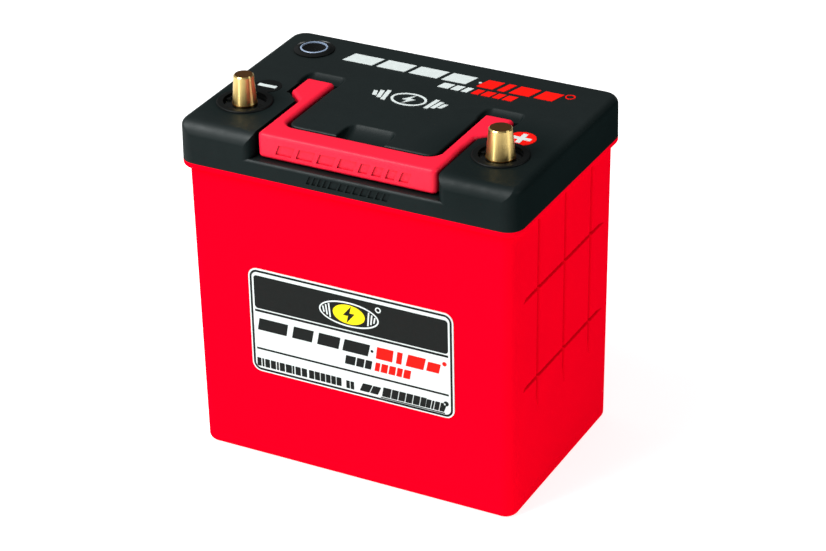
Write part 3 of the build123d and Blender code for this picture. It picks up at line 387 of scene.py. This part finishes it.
def woven(name, colour):
    """Woven tape with fine cross ribs."""
    s = Surface(name, roughness=0.8, specular=0.2)
    wave = s.node("ShaderNodeTexWave", bands_direction="Z")
    wave.inputs["Scale"].default_value = 500.0
    s.link(s.place, wave.inputs["Vector"])
    s.colour(s.blend(wave.outputs["Fac"], scaled(colour, 0.75), colour))
    s.bump(wave.outputs["Fac"], 0.0001, 0.7)
    return s


def frosted_ring():
    """Pale diffusing ring of the button."""
    s = Surface("light_ring_frosted")
    cloud = s.remap(s.noise(900.0), 0.0, 1.0)
    s.colour(s.blend(cloud, scaled(RING_BLUE, 0.9), scaled(RING_BLUE, 1.08)))
    s.rough(s.remap(s.noise(500.0), 0.28, 0.42))
    s.bump(s.noise(1500.0), 0.00001, 0.5)
    s.set("Subsurface Weight", 0.15)
    s.set("Subsurface Radius", (2 * MM, 2 * MM, 2 * MM))
    return s


# case_red, cover_black and handle_red carry painted crevice shade from ambient occlusion.
finishes = {
    "case_red": moulded("case_red", CASE_RED, roughness=0.46, specular=0.0, grain=1500.0,
                        depth=0.00002, mottle=0.015, crevice_shade=0.55),
    "cover_black": cover_moulding(),
    "handle_red": moulded("handle_red", HANDLE_RED, roughness=0.40, specular=0.16, grain=1500.0,
                          depth=0.00002, mottle=0.02, crevice_shade=0.5),
    "brass": turned_brass(),
    "gloss_black": cup_black(),
    "cap_black": moulded("cap_black", CAP_BLACK, roughness=0.30, specular=0.15, grain=1400.0,
                         depth=0.00001, mottle=0.05),
    "light_ring": frosted_ring(),
    "steel": metal("steel_plated", STEEL, roughness=0.30, stretch=(1.0, 1.0, 0.2)),
    "black_oxide": metal("black_oxide", OXIDE_BLACK, roughness=0.35),
    "rubber_black": moulded("rubber_black", RUBBER_BLACK, roughness=0.75, specular=0.25, grain=900.0,
                            depth=0.00004, mottle=0.1),
    "mark_white": printed("mark_white", INK_WHITE, roughness=0.5, specular=0.1),
    "mark_red": printed("mark_red", INK_RED, roughness=0.5, specular=0.05),
    "mark_black": printed("mark_black", DISC_BLACK, roughness=0.25, specular=0.2),
    "label_white": printed("label_white", FILM_WHITE, roughness=0.4, specular=0.05),
    "yellow": printed("mark_yellow", YELLOW, roughness=0.5, specular=0.05),
    "ink_black": printed("ink_black", INK_BLACK, roughness=0.5, specular=0.05),
    "cell_can": moulded("cell_wrap_blue", CELL_BLUE, roughness=0.3, specular=0.5, grain=700.0,
                        depth=0.00003, mottle=0.08),
    "terminal_aluminium": metal("terminal_aluminium", ALUMINIUM, roughness=0.35),
    "copper": metal("copper_strip", COPPER, roughness=0.32, stretch=(1.0, 1.0, 0.15)),
    "pad_grey": moulded("pad_foam", FOAM_GREY, roughness=0.9, specular=0.1, grain=500.0,
                        depth=0.0003, mottle=0.15),
    "band_yellow": woven("band_woven", TAPE_YELLOW),
    "tray_grey": moulded("tray_grey", TRAY_GREY, roughness=0.55, specular=0.3),
    "board_green": board_green(),
    "part_black": moulded("package_black", PACKAGE_BLACK, roughness=0.55, specular=0.3, grain=1600.0),
    "sink_aluminium": metal("sink_aluminium", ANODISED, roughness=0.45, stretch=(1.0, 0.1, 1.0)),
    "socket_white": moulded("socket_white", SOCKET_WHITE, roughness=0.45, specular=0.35),
    "lead_red": moulded("lead_red", LEAD_RED, roughness=0.4, specular=0.4),
    "lead_blue": moulded("lead_blue", LEAD_BLUE, roughness=0.4, specular=0.4),
}

# Nodes whose finish isn't their slot's own
OTHER_FINISH = {"collar_screws": "black_oxide"}

for entry in frame["record"]["subparts"]:
    name, slot = entry["node"], entry["material_slot"]
    node = frame["nodes"][name]
    node.data.materials.clear()
    node.data.materials.append(finishes[OTHER_FINISH.get(name, slot)].mat)


# ---------------------------------------------------------------- flat printed pieces
def rounded(x, y, width, height, radius, lean=0.0, steps=6):
    """Rounded block outline whose lower left corner is (x, y); the top leans to the right."""
    points = []
    corners = ((x + width - radius, y + radius, -90), (x + width - radius, y + height - radius, 0),
               (x + radius, y + height - radius, 90), (x + radius, y + radius, 180))
    for centre_x, centre_y, start in corners:
        for step in range(steps + 1):
            angle = math.radians(start + 90.0 * step / steps)
            px, py = centre_x + radius * math.cos(angle), centre_y + radius * math.sin(angle)
            points.append((px + lean * (py - y) / height, py))
    return points


def ellipse(x, y, half_width, half_height, steps=64):
    """Ellipse outline round (x, y)."""
    return [(x + half_width * math.cos(2 * math.pi * i / steps),
             y + half_height * math.sin(2 * math.pi * i / steps)) for i in range(steps)]


def plate(name, outlines, plane, thickness, finish):
    """Thin plate standing on a plane; outlines in mm, one inside another makes a hole."""
    curve = bpy.data.curves.new(name, "CURVE")
    curve.dimensions = "2D"
    curve.fill_mode = "BOTH"
    curve.extrude = thickness * MM / 2
    for outline in outlines:
        spline = curve.splines.new("POLY")
        spline.points.add(len(outline) - 1)
        for point, (x, y) in zip(spline.points, outline):
            point.co = (x * MM, y * MM, 0.0, 1.0)
        spline.use_cyclic_u = True
    shape = bpy.data.objects.new(name + "_curve", curve)
    scene.collection.objects.link(shape)
    bpy.context.view_layer.update()
    shaped = shape.evaluated_get(bpy.context.evaluated_depsgraph_get())
    mesh = bpy.data.meshes.new_from_object(shaped)
    bpy.data.objects.remove(shape)
    mesh.name = name
    mesh.transform(plane @ Matrix.Translation((0.0, 0.0, thickness * MM / 2)))
    mesh.materials.clear()
    mesh.materials.append(finishes[finish].mat)
    piece = bpy.data.objects.new(name, mesh)
    scene.collection.objects.link(piece)
    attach(piece, "battery")
    return piece


def plane_at(origin, x_axis, y_axis):
    """Matrix from plane coordinates to the row frame."""
    x_axis, y_axis = Vector(x_axis).normalized(), Vector(y_axis).normalized()
    z_axis = x_axis.cross(y_axis)
    return Matrix.Translation(origin) @ Matrix((x_axis, y_axis, z_axis)).transposed().to_4x4()


# ---------------------------------------------------------------- print on the front label
LABEL_THICKNESS = 0.5
INK = 0.12
label_low, label_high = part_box("front_label")
label_drop = (label_high.y - label_low.y) - LABEL_THICKNESS * MM
label_up = Vector((0.0, -label_drop, label_high.z - label_low.z))
label_origin = Vector(((label_low.x + label_high.x) / 2, label_low.y + label_drop / 2,
                       (label_low.z + label_high.z) / 2))
label_plane = plane_at(label_origin, (1, 0, 0), label_up)
half_w = (label_high.x - label_low.x) / MM / 2
half_h = (label_high.z - label_low.z) / MM / 2


def label_plate(name, outlines, finish):
    """Printed layer on the label."""
    piece = plate(name, outlines, label_plane, INK, finish)
    return piece


BLOCK_CORNER = 0.25


def bars(x, y, widths, height, gap=0.0, lean=0.0):
    """Row of leaning blocks from x to the right."""
    outlines = []
    for width in widths:
        outlines.append(rounded(x, y, width, height, BLOCK_CORNER, lean, 3))
        x += width + gap
    return outlines


def dot(x, y, radius):
    """Round outline."""
    return ellipse(x, y, radius, radius, 24)


def bar(x, y, width, height, corner):
    """Upright rectangle with rounded corners."""
    return rounded(x, y, width, height, corner)


def border(name, inset, line, corner, finish):
    """Rounded frame line that far inside the label's edge."""
    outlines = []
    for edge, radius in ((inset, corner), (inset + line, corner - line)):
        outlines.append(rounded(-half_w + edge, -half_h + edge, 2 * (half_w - edge), 2 * (half_h - edge),
                                radius, 0, 12))
    label_plate(name, outlines, finish)


# Measures on the label are in mm from its middle, x to the right and y up.
SIDE = 54.5
BADGE_X, BADGE_Y = -0.3, 16.1
BADGE_DOT = (16.2, 22.6)
FLASH_SIZE = 0.95
FLASH = ((1.6, 5.4), (-3.6, -0.9), (-0.5, -0.9), (-1.6, -5.4), (3.6, 0.9), (0.5, 0.9))
BLADES = 3
BLADE_WIDTH = 0.8
BLADE_LEAN = 0.7

border("label_frame_line", inset=0.8, line=1.1, corner=4.3, finish="ink_black")
label_plate("label_band", [rounded(-SIDE, 7.1, 2 * SIDE, 18.8, 1.8, 0, 8)], "ink_black")
label_plate("label_rules", [bar(-SIDE, 5.1, 2 * SIDE, 1.2, 0.1), bar(-SIDE, -16.9, 2 * SIDE, 1.0, 0.1)],
            "ink_black")

over_ink = label_origin + label_plane.to_3x3() @ Vector((0.0, 0.0, INK * MM))
over_band = plane_at(over_ink, (1, 0, 0), label_up)
flash = [(BADGE_X + FLASH_SIZE * x, BADGE_Y + FLASH_SIZE * y) for x, y in FLASH]
badge_yellow = plate("label_badge_yellow", [ellipse(BADGE_X, BADGE_Y, 9.0, 5.4), flash],
                     over_band, INK, "yellow")

wings = [ellipse(BADGE_X, BADGE_Y, 16.8, 7.0), ellipse(BADGE_X, BADGE_Y, 16.0, 6.2)]
for side in (-1, 1):
    for blade in range(BLADES):
        near = 10.2 + 1.7 * blade
        half = 3.9 - 1.1 * blade
        x0, x1 = BADGE_X + side * near, BADGE_X + side * (near + BLADE_WIDTH)
        shift = side * BLADE_LEAN
        wings.append([(x0, BADGE_Y - half), (x1, BADGE_Y - half),
                      (x1 + shift, BADGE_Y + half), (x0 + shift, BADGE_Y + half)])
wings += [dot(*BADGE_DOT, 1.6), dot(*BADGE_DOT, 1.0)]
plate("label_badge_wings", wings, over_band, INK, "label_white")

# The large row, the short row under it and the row along the label's foot: y, height
LARGE = (-5.4, 6.8)
SHORT = (-12.7, 5.0)
SHORT_LEAN = 0.9
FOOT = (-26.8, 4.8)


def large_block(x, width, lean):
    """One block of the large row."""
    return bars(x, LARGE[0], (width,), LARGE[1], lean=lean)


def short_row(x, widths, gap):
    """Blocks of the short row."""
    return bars(x, SHORT[0], widths, SHORT[1], gap, SHORT_LEAN)


def foot_row(x, widths, gap):
    """Upright blocks of the foot row."""
    return bars(x, FOOT[0], widths, FOOT[1], gap)


label_plate("label_blocks_black",
            large_block(-53.4, 16.6, 1.2)
            + large_block(-33.6, 11.4, 1.4)
            + large_block(-19.2, 12.2, 1.4)
            + large_block(-4.8, 14.4, 1.6)
            + [dot(12.1, -1.9, 0.8)]
            + short_row(-3.6, (5.6, 4.2, 3.6), 0.7), "ink_black")
label_plate("label_blocks_red",
            large_block(14.1, 9.2, 1.0)
            + large_block(25.4, 3.0, 1.0)
            + large_block(30.8, 9.8, 1.6)
            + bars(42.2, -5.2, (7.0,), 5.4, lean=1.2)
            + [dot(52.4, 1.0, 1.2)]
            + short_row(13.2, (2.6, 3.6, 3.6, 3.0, 3.8), 0.8), "mark_red")
label_plate("label_small_blocks",
            foot_row(-54.7, (2.3, 1.1, 2.7, 2.9, 1.1, 2.9, 3.5), 0.6)
            + foot_row(-34.2, (1.1, 3.0, 3.0), 0.65)
            + foot_row(-24.6, (2.9, 2.9, 2.6, 2.6, 2.6, 2.8), 0.45)
            + bars(-3.2, -26.9, (2.0, 2.0), 4.4, gap=0.45)
            + bars(4.4, -26.4, (5.4, 4.4), 4.6, gap=0.5, lean=2.0)
            + bars(17.0, -26.6, (4.6, 3.6, 3.6, 3.6, 3.6, 3.0), 5.4, gap=0.45, lean=1.0)
            + bars(41.4, -26.6, (2.6, 1.2, 2.6, 2.6), 5.0, gap=0.45, lean=1.0)
            + [dot(53.0, -21.6, 1.4), bar(16.3, -27.6, 36.0, 0.5, 0.1)], "ink_black")


# ---------------------------------------------------------------- dot between the rows on the cover
MARK_HEIGHT = 0.2
bars_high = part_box("top_bars_white")[1]
cover_plane = plane_at((0.0, 0.0, bars_high.z - MARK_HEIGHT * MM), (1, 0, 0), (0, 1, 0))
plate("top_dot_white", [dot(bars_high.x / MM - 0.4, bars_high.y / MM - 4.7, 0.8)],
      cover_plane, MARK_HEIGHT, "mark_white")


# ---------------------------------------------------------------- button's spring, as a copy of its own
coil = bpy.data.objects.new("button_return_coil", frame["nodes"]["button_spring"].data.copy())
scene.collection.objects.link(coil)
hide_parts("button_spring")
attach(coil, "battery")
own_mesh(coil)


# ---------------------------------------------------------------- floor, light and camera
REACH = 12.0
PAPER = (0.60, 0.60, 0.60, 1.0)
PAPER_LIGHT = (0.62, 0.62, 0.62, 1.0)
PAPER_GLOW = 0.78
corners = [(-REACH, -REACH, 0), (REACH, -REACH, 0), (REACH, REACH, 0), (-REACH, REACH, 0)]
floor_mesh = bpy.data.meshes.new("floor")
floor_mesh.from_pydata(corners, [], [(0, 1, 2, 3)])
floor = bpy.data.objects.new("floor", floor_mesh)
scene.collection.objects.link(floor)
paper = Surface("floor_paper", roughness=0.9, specular=0.0)
paper.colour(paper.blend(paper.remap(paper.noise(3.0), 0.0, 1.0), PAPER, PAPER_LIGHT))
paper.set("Emission Color", (1.0, 1.0, 1.0, 1.0))
paper.set("Emission Strength", PAPER_GLOW)
floor_mesh.materials.append(paper.mat)

# The studio is brightest towards the left, the front and above.
BRIGHT_SIDE = (-0.62, -0.55, 0.56)
WALL_DIM, WALL_BRIGHT = 0.08, 0.60
world = bpy.data.worlds.new("studio")
world.use_nodes = True
scene.world = world
sky = world.node_tree
backdrop = sky.nodes["Background"]
backdrop.inputs["Color"].default_value = (0.97, 0.99, 1.0, 1.0)
where = sky.nodes.new("ShaderNodeTexCoord")
towards = sky.nodes.new("ShaderNodeVectorMath")
towards.operation = "DOT_PRODUCT"
towards.inputs[1].default_value = BRIGHT_SIDE
sky.links.new(where.outputs["Generated"], towards.inputs[0])
level = sky.nodes.new("ShaderNodeMapRange")
level.inputs["From Min"].default_value = 0.0
level.inputs["From Max"].default_value = 0.9
level.inputs["To Min"].default_value = WALL_DIM
level.inputs["To Max"].default_value = WALL_BRIGHT
sky.links.new(towards.outputs["Value"], level.inputs["Value"])
sky.links.new(level.outputs["Result"], backdrop.inputs["Strength"])


LAMP_COLOUR = (0.95, 1.0, 1.0)
AIM = (0.0, 0.0, 0.12)


def softbox(name, place, width, height, watts):
    """Area light at a place, turned to the object."""
    data = bpy.data.lights.new(name, "AREA")
    data.shape = "RECTANGLE"
    data.size, data.size_y, data.energy = width, height, watts
    data.color = LAMP_COLOUR
    lamp = bpy.data.objects.new(name, data)
    lamp.location = place
    lamp.rotation_mode = "QUATERNION"
    lamp.rotation_quaternion = (Vector(AIM) - Vector(place)).to_track_quat("-Z", "Y")
    scene.collection.objects.link(lamp)


softbox("key_front_left", place=(-0.80, -0.94, 1.62), width=1.1, height=0.9, watts=40.0)
softbox("strip_front_left", place=(-0.55, -1.15, 0.40), width=0.07, height=0.6, watts=3.0)
softbox("fill_right", place=(1.7, 0.3, 0.9), width=0.6, height=0.9, watts=9.0)

scene.view_settings.view_transform = "Standard"

FOCAL_PX = 2846.37
IMAGE_WIDTH = 826
SENSOR = 36.0
CAMERA_PLACE = (0.60248, -1.12953, 0.78813)
azimuth, elevation, roll = math.radians(27.88), math.radians(28.60), math.radians(-1.0786)
back = Vector((math.sin(azimuth) * math.cos(elevation), -math.cos(azimuth) * math.cos(elevation),
               math.sin(elevation)))
right = Vector((math.cos(azimuth), math.sin(azimuth), 0.0))
up = back.cross(right)
cam_x = math.cos(roll) * right + math.sin(roll) * up
cam_y = -math.sin(roll) * right + math.cos(roll) * up
turn = Matrix((cam_x, cam_y, back)).transposed().to_4x4()
camera_data = bpy.data.cameras.new("camera")
camera_data.sensor_width = SENSOR
camera_data.lens = FOCAL_PX * SENSOR / IMAGE_WIDTH
camera_data.clip_end = 50.0
camera = bpy.data.objects.new("camera", camera_data)
scene.collection.objects.link(camera)
camera.matrix_world = Matrix.Translation(CAMERA_PLACE) @ turn
scene.camera = camera
